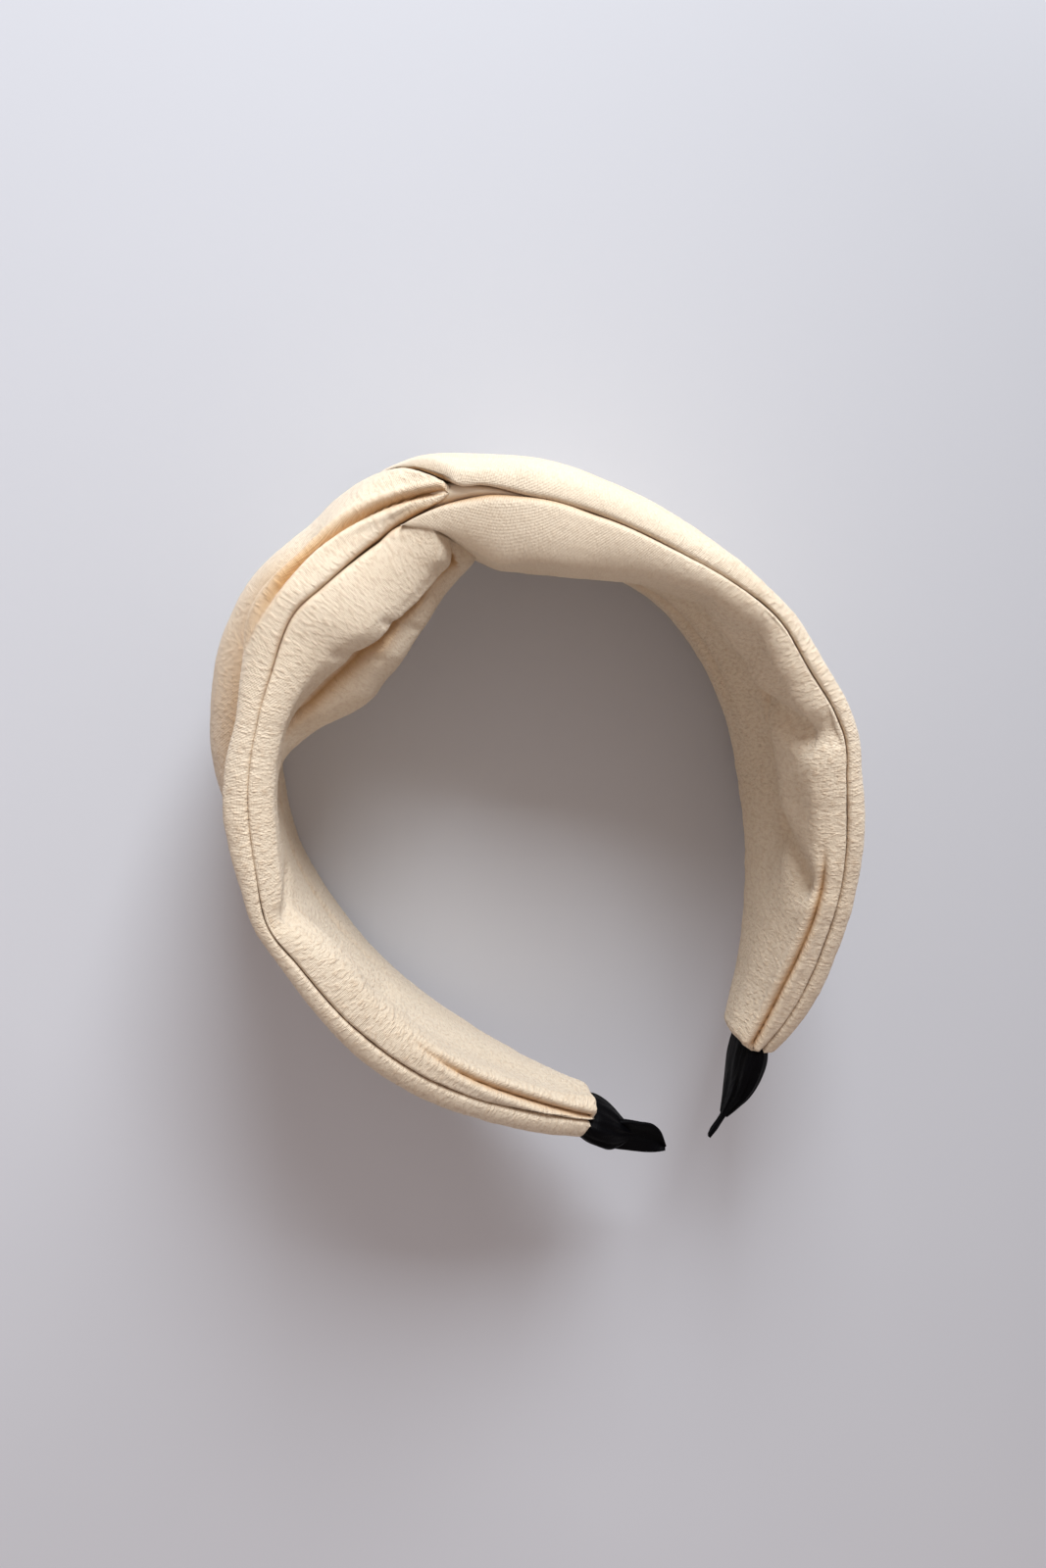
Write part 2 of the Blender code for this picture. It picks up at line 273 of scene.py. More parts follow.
class Leg:
    """One folded layer of a tube: a flattened roll of cloth that runs from the knot to an end.

    face is its shown side's height off the hoop line and back the side against the hoop, both
    over (a, share). lead is where it starts at each share, and edge is the height of the seam
    line at the upper edge, where the outer and inner layers meet. ridge is how far through its
    thickness its rim lies, from the hoop side. creases and dents are the folds in it, and lift
    raises its upper edge over its neighbours.

    A crease runs along the distances a, where the face has the share or the height at: by says
    which. drop is its depth and width its width. Its fold gets painted shade: tint is how strong
    it is, shade how far it reaches down from the crease, and fade how sharply it ends there.
    """

    def __init__(self, name, side, layer, stations, shares, face, back, lead, edge,
                 ridge=0.24, creases=(), dents=(), lift=((0, ARM), (0, 0)), seed=0):
        self.name = name
        self.side = side
        self.layer = layer
        self.stations = stations
        self.shares = shares
        self.face = face
        self.back = back
        self.lead = lead
        self.edge = edge
        self.ridge = ridge
        self.creases = creases
        self.dents = dents
        self.lift = lift
        self.seed = seed

    def roll_radius(self, a, share):
        face = surface(self.stations, self.shares, self.face, a, share)
        back = surface(self.stations, BACK_SHARES, self.back, a, share)
        return np.clip((face - back) * 0.55, 0.9, 3.2)

    def grid(self, rings, columns, top_steps, low_steps):
        """Sections of (a, height, z), down the face and up the back, and the shares down it."""
        first = min(self.lead[1])
        u = np.linspace(0, 1, rings)
        a0 = (first + (ARM - first) * u)[:, None]
        top_roll = 1 - np.cos(np.linspace(0, math.pi / 2, top_steps + 1))
        low_roll = 1 - np.cos(np.linspace(math.pi / 2, 0, low_steps + 1))
        t = np.linspace(0, 1, columns)[1:-1]
        middle = 0.45 * t + 0.55 * t * t
        tall = 2 * half_width(a0)
        top = self.roll_radius(a0, 0.05)
        low = self.roll_radius(a0, 0.95)
        depth = np.concatenate([
            top_roll * top, top + middle * (tall - top - low), tall - low_roll * low,
        ], axis=1)
        share = depth / tall
        lead = spline(self.lead[0], self.lead[1], share)
        reach = 1 - smooth((a0 - first) / (38.0 - first))
        a = a0 + (lead - first) * reach
        z = BAND_MIDDLE + half_width(a) * (1 - 2 * share)
        z += spline(self.lift[0], self.lift[1], a) * (1 - smooth(share / 0.25))
        face = surface(self.stations, self.shares, self.face, a, share)
        back = surface(self.stations, BACK_SHARES, self.back, a, share)
        rim = back + (face - back) * self.ridge
        low_rim = quarter_round((tall - depth) / low)
        ends = LIP_LEAST + (1 - LIP_LEAST) * quarter_round((a - lead) / LIP)
        ends = ends * (END_LEAST + (1 - END_LEAST) * quarter_round((ARM - a) / END_ROLL))
        face_fullness = quarter_round(depth / top) * low_rim * ends
        back_fullness = quarter_round(depth / (BACK_ROLL * top)) * low_rim * ends
        seam = spline(self.edge[0], self.edge[1], a) * (1 - smooth(share / 0.45)) * self.layer
        down = np.stack([a, rim + (face - rim) * face_fullness + seam, z], axis=-1)
        up = np.stack([a, rim + (back - rim) * back_fullness + seam, z], axis=-1)
        kept = back_columns(share.shape[1], top_steps, low_steps)
        return np.concatenate([down, up[:, kept]], axis=1), share

    def build(self, material):
        grid, share = self.grid(RINGS, COLUMNS, TOP_STEPS, LOW_STEPS)
        count = share.shape[1]
        kept = back_columns(count, TOP_STEPS, LOW_STEPS)
        whole_share = np.concatenate([share, share[:, kept]], axis=1)
        shown = np.arange(grid.shape[1]) < count
        a = grid[..., 0]
        steps = np.linalg.norm(np.diff(grid[..., 1:], axis=1), axis=-1)
        around = np.concatenate([np.zeros((len(grid), 1)), np.cumsum(steps, axis=1)], axis=1)
        push, fold_shade = self.crease(grid, around, share, shown)
        for dent in self.dents:
            push -= self.dent(dent, a, whole_share) * shown
        # from here the hidden side's upper half is measured back over the upper edge
        upper = whole_share < 0.5
        closing = np.linalg.norm(grid[:, :1, 1:] - grid[:, -1:, 1:], axis=-1)
        around = around - ((around[:, -1:] + closing) * (~shown & upper))
        push += self.wrinkles(a, around) * (1 - smooth(-around / BACK_WRINKLES)) * (shown | upper)
        points = place(self.side * a, self.layer * grid[..., 1], grid[..., 2]) / MM
        points = points + grid_normals(points) * (push * self.side * self.layer)[..., None]
        points[:, :count] += self.settle(share, material)
        points[..., 2] = np.maximum(points[..., 2], FLOOR_GAP)
        # painted shade on the hidden side, past the upper edge, where it lies against the hoop
        fold_shade = np.maximum(fold_shade, smooth((-around - BACK_SHADE[0]) / BACK_SHADE[1]))
        faces = tube_faces(len(grid), grid.shape[1], self.side * self.layer > 0)
        faces += self.caps(len(grid), grid.shape[1], count, kept)
        uvs = np.stack([a + 40.0, around], axis=-1) * MM
        return new_mesh_object(self.name, points * MM, faces, material, uvs, fold_shade, self.crinkled(a))

    def caps(self, rings, loop, count, kept):
        """The faces that close the leg's two ends, each between neighbouring back columns."""
        anchors = [(0, None)] + [(int(p), count + len(kept) - 1 - k) for k, p in enumerate(kept[::-1])]
        anchors.append((count - 1, None))
        flip = self.side * self.layer > 0
        faces = []
        for base, outward in ((0, False), ((rings - 1) * loop, True)):
            for (low, low_back), (high, high_back) in zip(anchors, anchors[1:]):
                corners = list(range(low, high + 1)) + [high_back, low_back]
                face = [base + c for c in corners if c is not None]
                faces.append(face if outward == flip else face[::-1])
        return faces

    def crease(self, grid, around, share, shown):
        """How far the creases push each point, and how much shade is painted on it in their folds."""
        a = grid[..., 0]
        push = np.zeros(a.shape)
        fold_shade = np.zeros(a.shape)
        for crease in self.creases:
            beyond = around - self.crease_line(crease, grid, around, share)[:, None]
            distance = np.abs(beyond)
            drop = spline(crease["a"], crease["drop"], a)
            width = crease["width"]
            inside = (a >= crease["a"][0] - 1) & shown
            shoulder = np.exp(-(((distance - 1.0 - 1.4 * width) / (0.5 + 0.9 * width)) ** 2))
            push += inside * drop * (CREASE_SHOULDER * shoulder - np.exp(-distance / width))
            # painted shade in the crease's fold, reaching shade millimetres down from its line
            deep = np.clip(drop / CREASE_FULL, 0, 1) * crease.get("tint", 1.0)
            near = CREASE_SHADE * width
            shade = crease.get("shade", (near,) * len(crease["a"]))
            reach = np.where(beyond > 0, spline(crease["a"], shade, a), near)
            fade = np.where(beyond > 0, crease.get("fade", CREASE_FADE), CREASE_FADE)
            fold_shade = np.maximum(fold_shade, inside * deep * np.exp(-((distance / reach) ** fade)))
        return push, fold_shade

    def crease_line(self, crease, grid, around, share):
        """How far round each section the crease lies."""
        a = grid[:, 0, 0]
        target = spline(crease["a"], crease["at"], a)
        count = share.shape[1]
        upper = count // 2
        line = np.empty(len(a))
        for i in range(len(a)):
            if crease["by"] == "share":
                line[i] = np.interp(target[i], share[i], around[i, :count])
            else:
                height = np.maximum.accumulate(grid[i, :upper, 1])
                line[i] = np.interp(target[i], height, around[i, :upper])
        return line

    def dent(self, dent, a, share):
        """A soft valley along a straight line over (a, millimetres of depth)."""
        (a0, d0), (a1, d1) = dent["line"]
        depth = share * 2 * half_width(a)
        run = np.array([a1 - a0, d1 - d0])
        length = np.hypot(*run)
        along = ((a - a0) * run[0] + (depth - d0) * run[1]) / length
        across = ((depth - d0) * run[0] - (a - a0) * run[1]) / length
        ends = smooth(along / (0.3 * length) + 0.5) * smooth((length - along) / (0.3 * length) + 0.5)
        return dent["drop"] * np.exp(-(across / dent["width"]) ** 2) * ends

    def wrinkles(self, a, around):
        """Crinkles across the strip, and the larger puckers that they gather into."""
        crinkle = 0.5 - np.abs(value_noise(a / 0.9 + around / 7.0, around / 1.9, self.seed + 1))
        crinkle += 0.5 - np.abs(value_noise(a / 1.3 - around / 9.0, around / 2.7, self.seed + 2))
        pucker = value_noise(a / 3.6, around / 7.0, self.seed + 3)
        billow = value_noise(a / 15.0, around / 21.0, self.seed + 4)
        calm = 1 - 0.3 * np.exp(-np.abs(around) / 1.2)
        return (self.crinkled(a) * (-0.08 * crinkle + 0.11 * pucker) + 0.3 * billow) * calm

    def crinkled(self, a):
        """How crinkled the cloth is: pulled smoother near the knot, most of all on the right."""
        least = 0.35 if self.side > 0 else 0.8
        return least + (1 - least) * smooth((a - 35.0) / 50.0)

    def settle(self, share, material):
        """What a cloth simulation, blown up lightly from inside, moves the shown side by."""
        grid, sim_share = self.grid(SIM_RINGS, SIM_COLUMNS, SIM_STEPS, SIM_STEPS)
        count = sim_share.shape[1]
        points = place(self.side * grid[..., 0], self.layer * grid[..., 1], grid[..., 2])
        faces = tube_faces(len(grid), grid.shape[1], self.side * self.layer > 0)
        faces += self.caps(len(grid), grid.shape[1], count, back_columns(count, SIM_STEPS, SIM_STEPS))
        obj = new_mesh_object(self.name + "_cloth", points, faces, material)
        held = np.ones(grid.shape[:2], bool)
        free_rings = slice(SIM_HELD_RINGS, 1 - SIM_HELD_RINGS)
        at_edge = (sim_share < SIM_HELD_EDGE) | (sim_share > 1 - SIM_HELD_EDGE)
        held[free_rings, :count] = at_edge[free_rings]
        group = obj.vertex_groups.new(name="held")
        group.add([int(i) for i in np.flatnonzero(held.ravel())], 1.0, "REPLACE")
        moved = simulate(obj, "held").reshape(points.shape) - points
        bpy.data.objects.remove(obj)
        moved = moved[:, :count] / MM
        normals = grid_normals(points)[:, :count] * self.side * self.layer
        outward = np.clip((moved * normals).sum(-1), -SIM_IN, SIM_OUT)
        sideways = moved - (moved * normals).sum(-1, keepdims=True) * normals
        size = np.linalg.norm(sideways, axis=-1, keepdims=True)
        sideways *= np.minimum(1.0, SIM_IN / np.maximum(size, 1e-6))
        moved = evened(sideways + outward[..., None] * normals, SIM_EVENED)
        return resample(moved, sim_share, share)


def evened(moved, passes):
    """A grid of moves, each taken as the mean of its neighbours; the edge rows stay."""
    moved = moved.copy()
    for _ in range(passes):
        moved[1:-1] = (moved[:-2] + 2 * moved[1:-1] + moved[2:]) / 4
        moved[:, 1:-1] = (moved[:, :-2] + 2 * moved[:, 1:-1] + moved[:, 2:]) / 4
    return moved


def resample(moved, from_share, to_share):
    """A coarse grid of moves, read at the places of a finer one."""
    at = np.linspace(0, len(moved) - 1, len(to_share))
    low = np.minimum(at.astype(int), len(moved) - 2)
    t = smooth(at - low)
    result = np.empty(to_share.shape + (3,))
    for i, (row, part) in enumerate(zip(low, t)):
        for axis in range(3):
            before = np.interp(to_share[i], from_share[row], moved[row, :, axis])
            after = np.interp(to_share[i], from_share[row + 1], moved[row + 1, :, axis])
            result[i, :, axis] = before * (1 - part) + after * part
    return result


def simulate(obj, held):
    """Runs the cloth on obj, and returns where its points end, as one flat array."""
    cloth = obj.modifiers.new("cloth", "CLOTH")
    settings = cloth.settings
    settings.quality = 6
    settings.mass = 0.2
    settings.tension_stiffness = 12.0
    settings.compression_stiffness = 12.0
    settings.shear_stiffness = 4.0
    settings.bending_stiffness = 0.5
    settings.vertex_group_mass = held
    settings.shrink_min = SIM_SPARE_CLOTH
    settings.use_pressure = True
    settings.uniform_pressure_force = SIM_PRESSURE
    settings.effector_weights.gravity = 0.0
    cloth.collision_settings.use_collision = False
    cloth.point_cache.frame_start = 1
    cloth.point_cache.frame_end = SIM_FRAMES
    scene = bpy.context.scene
    for step in range(1, SIM_FRAMES + 1):
        scene.frame_set(step)
    graph = bpy.context.evaluated_depsgraph_get()
    mesh = bpy.data.meshes.new_from_object(obj.evaluated_get(graph))
    ends = np.empty(len(mesh.vertices) * 3)
    mesh.vertices.foreach_get("co", ends)
    bpy.data.meshes.remove(mesh)
    scene.frame_set(1)
    return ends


# Height of the seam line at the upper edge, positive outward, along each arm
EDGE_RIGHT = ((12, 21, 35, 54, 65, 77, 88, 99, 103, 113, 128, 148, 170, 178),
              (0, 0.6, -1.7, -2.8, -1.6, 0, 0, 1.5, 1.9, 1.1, 1.3, 1.7, 1.8, 1.0))
EDGE_LEFT = ((8, 16, 22, 26, 41, 65, 80, 89, 99, 117, 140, 157, 178),
             (0, 1.0, 1.8, 2.6, 0.5, 0, 0.3, 1.3, -0.2, -0.9, -1.2, -1.6, -1.6))


def outer_right():
    stations = (-7, -1, 1.3, 6, 9, 13, 20, 35, 55, 76, 103, 120, 146, 165, 178)
    shares = (0.0, 0.05, 0.2, 0.45, 0.7, 0.93)
    face = (
        (12.4, 12.6, 13.2, 12.9, 6.0, 4.5),
        (12.1, 12.4, 13.1, 12.8, 6.0, 4.2),
        (11.8, 12.2, 13.0, 12.7, 6.0, 4.2),
        (10.4, 11.2, 12.4, 12.2, 6.0, 4.2),
        (8.4, 9.2, 11.2, 11.6, 6.2, 4.2),
        (6.8, 7.6, 9.8, 10.6, 7.2, 5.0),
        (5.8, 6.6, 8.2, 9.0, 7.6, 5.6),
        (5.2, 5.6, 6.1, 6.4, 6.0, 4.8),
        (4.4, 4.6, 4.8, 4.8, 4.8, 4.2),
        (3.2, 3.5, 4.0, 4.5, 4.5, 3.8),
        (3.1, 3.3, 3.7, 4.1, 4.1, 3.6),
        (3.6, 3.8, 4.0, 4.1, 4.0, 3.4),
        (3.8, 3.9, 4.0, 4.2, 4.2, 3.4),
        (3.6, 3.7, 3.8, 3.8, 3.6, 3.0),
        (3.4, 3.5, 3.6, 3.6, 3.4, 2.8),
    )
    back = (
        (12.4, 12.5, 12.8, 12.6, 8.0, 1.1, 0.6, 0.3),
        (12.0, 12.1, 12.4, 12.4, 8.0, 1.1, 0.6, 0.3),
        (11.8, 11.9, 12.3, 12.2, 8.0, 1.1, 0.6, 0.3),
        (8.2, 8.3, 8.6, 8.8, 6.0, 1.1, 0.6, 0.3),
        (5.2, 5.3, 5.6, 5.8, 4.6, 1.1, 0.6, 0.3),
        (4.2, 4.0, 3.6, 3.0, 2.0, 1.1, 0.5, 0.3),
        (0.8, 0.9, 1.0, 1.2, 1.2, 1.1, 0.5, 0.2),
    ) + (ON_HOOP,) * 8
    lead = ((0.0, 0.04, 0.08, 0.14, 0.2, 0.35, 0.44, 0.52, 0.6, 0.75, 1.0),
            (8.6, 7.2, 4.4, 0.6, -1.2, -3.0, -4.0, -1.6, 2.5, 4.0, 5.0))
    creases = (
        {"by": "share", "a": (4, 20, 60, 95), "at": (0.30, 0.25, 0.20, 0.18),
         "drop": (0.0, 1.2, 0.8, 0.0), "width": 1.1, "tint": 0.4},
        {"by": "share", "a": (8, 26, 75, 125), "at": (0.52, 0.47, 0.44, 0.42),
         "drop": (0.0, 1.5, 0.9, 0.0), "width": 1.3, "tint": 0.4},
        {"by": "share", "a": (12, 30, 70, 110), "at": (0.72, 0.74, 0.76, 0.74),
         "drop": (0.0, 1.3, 0.8, 0.0), "width": 1.2, "tint": 0.4},
        {"by": "share", "a": (120, 150, 178), "at": (0.55, 0.5, 0.5),
         "drop": (0.0, 0.7, 0.9), "width": 0.9, "tint": 0.5},
    )
    return Leg("outer_leg_right", 1, 1, stations, shares, face, back, lead, EDGE_RIGHT,
               creases=creases, lift=((-7, 0, 9, 20, 30), (0.2, 0.6, 1.0, 0.4, 0)), seed=10)


def outer_left():
    stations = (-13, -9, -6, -1.3, 3, 10, 16, 23, 34, 43, 50, 59, 68, 88, 110, 131, 155, 178)
    shares = (0.0, 0.04, 0.09, 0.13, 0.17, 0.22, 0.30, 0.5, 0.7, 0.93)
    face = (
        (2.4, 2.5, 2.5, 2.6, 2.6, 2.7, 2.8, 5.0, 11.0, 8.0),
        (4.5, 4.6, 4.7, 4.8, 4.8, 4.8, 4.8, 6.0, 12.0, 8.6),
        (7.8, 8.0, 8.1, 8.2, 8.2, 8.2, 8.2, 8.0, 12.6, 9.0),
        (10.8, 11.4, 11.8, 11.9, 12.0, 12.0, 12.0, 11.0, 12.8, 9.4),
        (10.8, 11.5, 12.1, 12.4, 12.6, 12.9, 13.1, 12.8, 12.4, 9.2),
        (8.4, 9.4, 10.4, 10.9, 11.4, 12.0, 12.8, 12.6, 11.4, 8.4),
        (6.8, 7.6, 8.0, 8.4, 9.1, 10.4, 11.8, 11.8, 10.6, 7.8),
        (6.0, 7.0, 6.2, 5.4, 6.6, 9.6, 11.9, 11.8, 10.4, 7.4),
        (6.2, 7.0, 5.4, 3.7, 4.6, 8.2, 11.9, 11.6, 10.0, 7.0),
        (4.9, 5.2, 3.9, 2.7, 3.3, 6.8, 10.9, 10.9, 9.4, 6.6),
        (3.8, 4.0, 3.1, 2.3, 2.9, 5.9, 9.5, 10.1, 8.8, 6.2),
        (4.0, 4.3, 3.5, 2.7, 3.2, 5.2, 8.1, 8.9, 8.3, 5.6),
        (3.8, 4.3, 4.0, 3.5, 3.7, 4.6, 6.2, 7.2, 7.0, 5.0),
        (2.7, 3.0, 3.0, 2.9, 3.0, 3.5, 4.3, 5.2, 5.2, 4.2),
        (3.0, 3.3, 3.5, 3.6, 3.8, 4.1, 4.5, 4.8, 4.7, 3.8),
        (4.6, 4.9, 5.1, 5.2, 5.3, 5.3, 5.3, 5.0, 4.7, 3.7),
        (4.6, 4.8, 4.9, 5.0, 5.0, 5.0, 5.0, 4.8, 4.4, 3.4),
        (4.4, 4.5, 4.6, 4.6, 4.6, 4.6, 4.6, 4.4, 4.0, 3.0),
    )
    back = (
        (2.0, 1.6, 1.0, 1.1, 1.6, 7.6, 6.6, 4.0),
        (3.7, 3.0, 1.4, 1.1, 1.6, 7.4, 6.6, 4.0),
        (3.3, 2.6, 1.2, 1.1, 1.6, 7.2, 6.4, 4.0),
        (2.9, 2.2, 1.0, 1.1, 1.6, 7.0, 6.2, 3.6),
        (2.6, 2.0, 1.0, 1.1, 1.4, 6.4, 5.6, 3.0),
        (1.6, 1.2, 0.8, 1.1, 1.3, 5.0, 4.0, 1.6),
        (0.6, 0.5, 0.6, 1.1, 1.1, 2.4, 1.6, 0.5),
    ) + (ON_HOOP,) * 11
    lead = ((0.0, 0.04, 0.08, 0.14, 0.2, 0.28, 0.4, 0.48, 0.56, 0.65, 0.8, 0.86, 0.92, 0.96, 1.0),
            (-7.2, -8.4, -9.4, -11.0, -13.0, -13.0, -8.0, -2.5, -4.0, -5.6, -2.6, -0.6, 4.4, 7.2, 8.6))
    creases = (
        {"by": "height", "a": (-9, -2.7, 4, 12, 19, 28, 36, 42),
         "at": (4.3, 5.5, 6.7, 7.6, 7.9, 7.6, 7.1, 6.4),
         "drop": (1.8, 2.6, 3.0, 3.0, 2.4, 1.2, 0.5, 0.0), "width": 0.45,
         "shade": (1.1, 1.1, 1.1, 1.2, 1.8, 3.0, 4.0, 4.0)},
        # this crease's painted shade stands for the shadow in the valley between the upper strips
        {"by": "share", "a": (14, 22, 27, 34, 43, 59, 70, 86), "at": (0.12,) * 8,
         "drop": (0.0, 0.8, 1.6, 2.0, 2.2, 2.0, 1.3, 0.0), "width": 0.8, "tint": 0.7,
         "shade": (6.0, 8.0, 10.0, 12.0, 14.0, 11.0, 7.0, 4.0), "fade": 2.2},
        {"by": "share", "a": (0, 18, 45, 80), "at": (0.46, 0.42, 0.40, 0.40),
         "drop": (0.0, 0.9, 0.8, 0.0), "width": 1.2, "tint": 0.4},
        {"by": "share", "a": (2, 22, 60, 120), "at": (0.62, 0.58, 0.55, 0.55),
         "drop": (0.0, 1.4, 1.0, 0.0), "width": 1.3, "tint": 0.4},
        {"by": "share", "a": (6, 26, 60, 100), "at": (0.80, 0.80, 0.80, 0.78),
         "drop": (0.0, 1.3, 0.9, 0.0), "width": 1.2, "tint": 0.4},
        {"by": "share", "a": (115, 150, 178), "at": (0.45, 0.5, 0.5),
         "drop": (0.0, 0.7, 0.9), "width": 0.9, "tint": 0.5},
    )
    return Leg("outer_leg_left", -1, 1, stations, shares, face, back, lead, EDGE_LEFT,
               creases=creases, seed=20)


def inner_right():
    stations = (-3, 0, 4, 9.3, 13, 20, 30, 38, 50, 65, 76, 90, 103, 120, 140, 160, 178)
    shares = (0.0, 0.05, 0.15, 0.27, 0.36, 0.44, 0.58, 0.78, 0.93)
    face = (
        (-1.2, -1.2, -1.0, 0.4, 2.0, 4.6, 8.0, 9.0, 6.0),
        (0.2, 0.3, 0.5, 1.4, 2.8, 5.0, 8.2, 9.0, 6.0),
        (2.8, 3.0, 3.2, 3.5, 4.4, 6.0, 8.6, 9.4, 6.0),
        (7.4, 7.9, 8.4, 8.9, 9.4, 9.8, 10.2, 9.8, 6.4),
        (9.6, 10.6, 11.4, 12.0, 12.2, 12.2, 11.8, 10.4, 6.6),
        (10.6, 12.0, 13.4, 14.0, 14.0, 13.8, 13.0, 11.0, 7.0),
        (9.6, 11.2, 13.4, 14.2, 14.2, 14.0, 13.2, 11.0, 7.2),
        (7.6, 9.4, 11.8, 12.8, 12.8, 12.6, 12.2, 10.8, 7.2),
        (5.4, 6.8, 8.6, 9.6, 9.6, 9.8, 10.6, 10.4, 7.0),
        (4.2, 5.2, 6.6, 7.6, 6.4, 6.6, 9.0, 10.2, 6.6),
        (4.4, 5.4, 6.8, 8.0, 6.0, 6.2, 9.0, 10.6, 6.6),
        (4.8, 5.8, 7.4, 8.8, 6.6, 6.6, 9.4, 11.0, 7.0),
        (6.0, 7.0, 8.6, 9.6, 7.0, 7.0, 9.8, 11.0, 7.0),
        (5.4, 6.6, 8.4, 9.4, 7.2, 7.0, 9.4, 10.6, 7.0),
        (5.4, 6.4, 7.6, 8.0, 7.8, 7.8, 8.6, 8.8, 6.0),
        (5.4, 6.0, 6.8, 7.2, 7.2, 7.2, 7.0, 6.6, 5.2),
        (4.4, 4.8, 5.2, 5.4, 5.4, 5.4, 5.2, 4.8, 4.0),
    )
    back = (
        (-2.2, -2.2, -2.2, -0.4, 5.0, 5.0, 5.0, 4.0),
        (-2.3, -2.3, -2.0, -0.2, 4.4, 5.0, 5.0, 4.0),
        (-2.4, -2.4, -1.6, 0.4, 2.4, 4.6, 4.6, 3.6),
        (-2.3, -2.3, -1.2, 1.0, 1.1, 3.4, 3.2, 2.0),
        (-2.1, -2.1, -1.0, 1.1, 1.1, 1.4, 1.2, 0.6),
        (-0.5, -0.4, 0.2, 1.1, 1.1, 1.1, 0.5, 0.2),
    ) + (ON_HOOP,) * 11
    lead = ((0.0, 0.05, 0.12, 0.22, 0.4, 0.5, 0.6, 0.75, 1.0),
            (-3.0, -2.8, -1.0, 2.0, 3.0, 0.0, -5.0, -7.0, -7.0))
    creases = (
        {"by": "height", "a": (126, 136, 152, 162, 178), "at": (3.4, 2.8, 2.9, 2.8, 1.5),
         "drop": (0.0, 1.6, 2.4, 2.4, 2.0), "width": 0.4},
        {"by": "share", "a": (20, 40, 80, 110), "at": (0.66, 0.62, 0.62, 0.66),
         "drop": (0.0, 0.9, 0.8, 0.0), "width": 1.4, "tint": 0.4},
        {"by": "share", "a": (46, 62, 112, 138), "at": (0.35, 0.355, 0.375, 0.39),
         "drop": (0.0, 0.8, 0.8, 0.0), "width": 2.0, "tint": 0.4},
    )
    dents = (
        {"line": ((76, 1), (86, 22)), "drop": 1.0, "width": 3.2},
        {"line": ((103, 1), (91, 20)), "drop": 3.4, "width": 3.6},
        {"line": ((62, 4), (72, 30)), "drop": 0.9, "width": 3.4},
        {"line": ((138, 3), (123, 19)), "drop": 2.8, "width": 3.4},
    )
    return Leg("inner_leg_right", 1, -1, stations, shares, face, back, lead, EDGE_RIGHT,
               ridge=0.16, creases=creases, dents=dents,
               lift=((-3, 4, 14, 24, 34), (0.8, 1.2, 1.2, 0.6, 0)), seed=30)


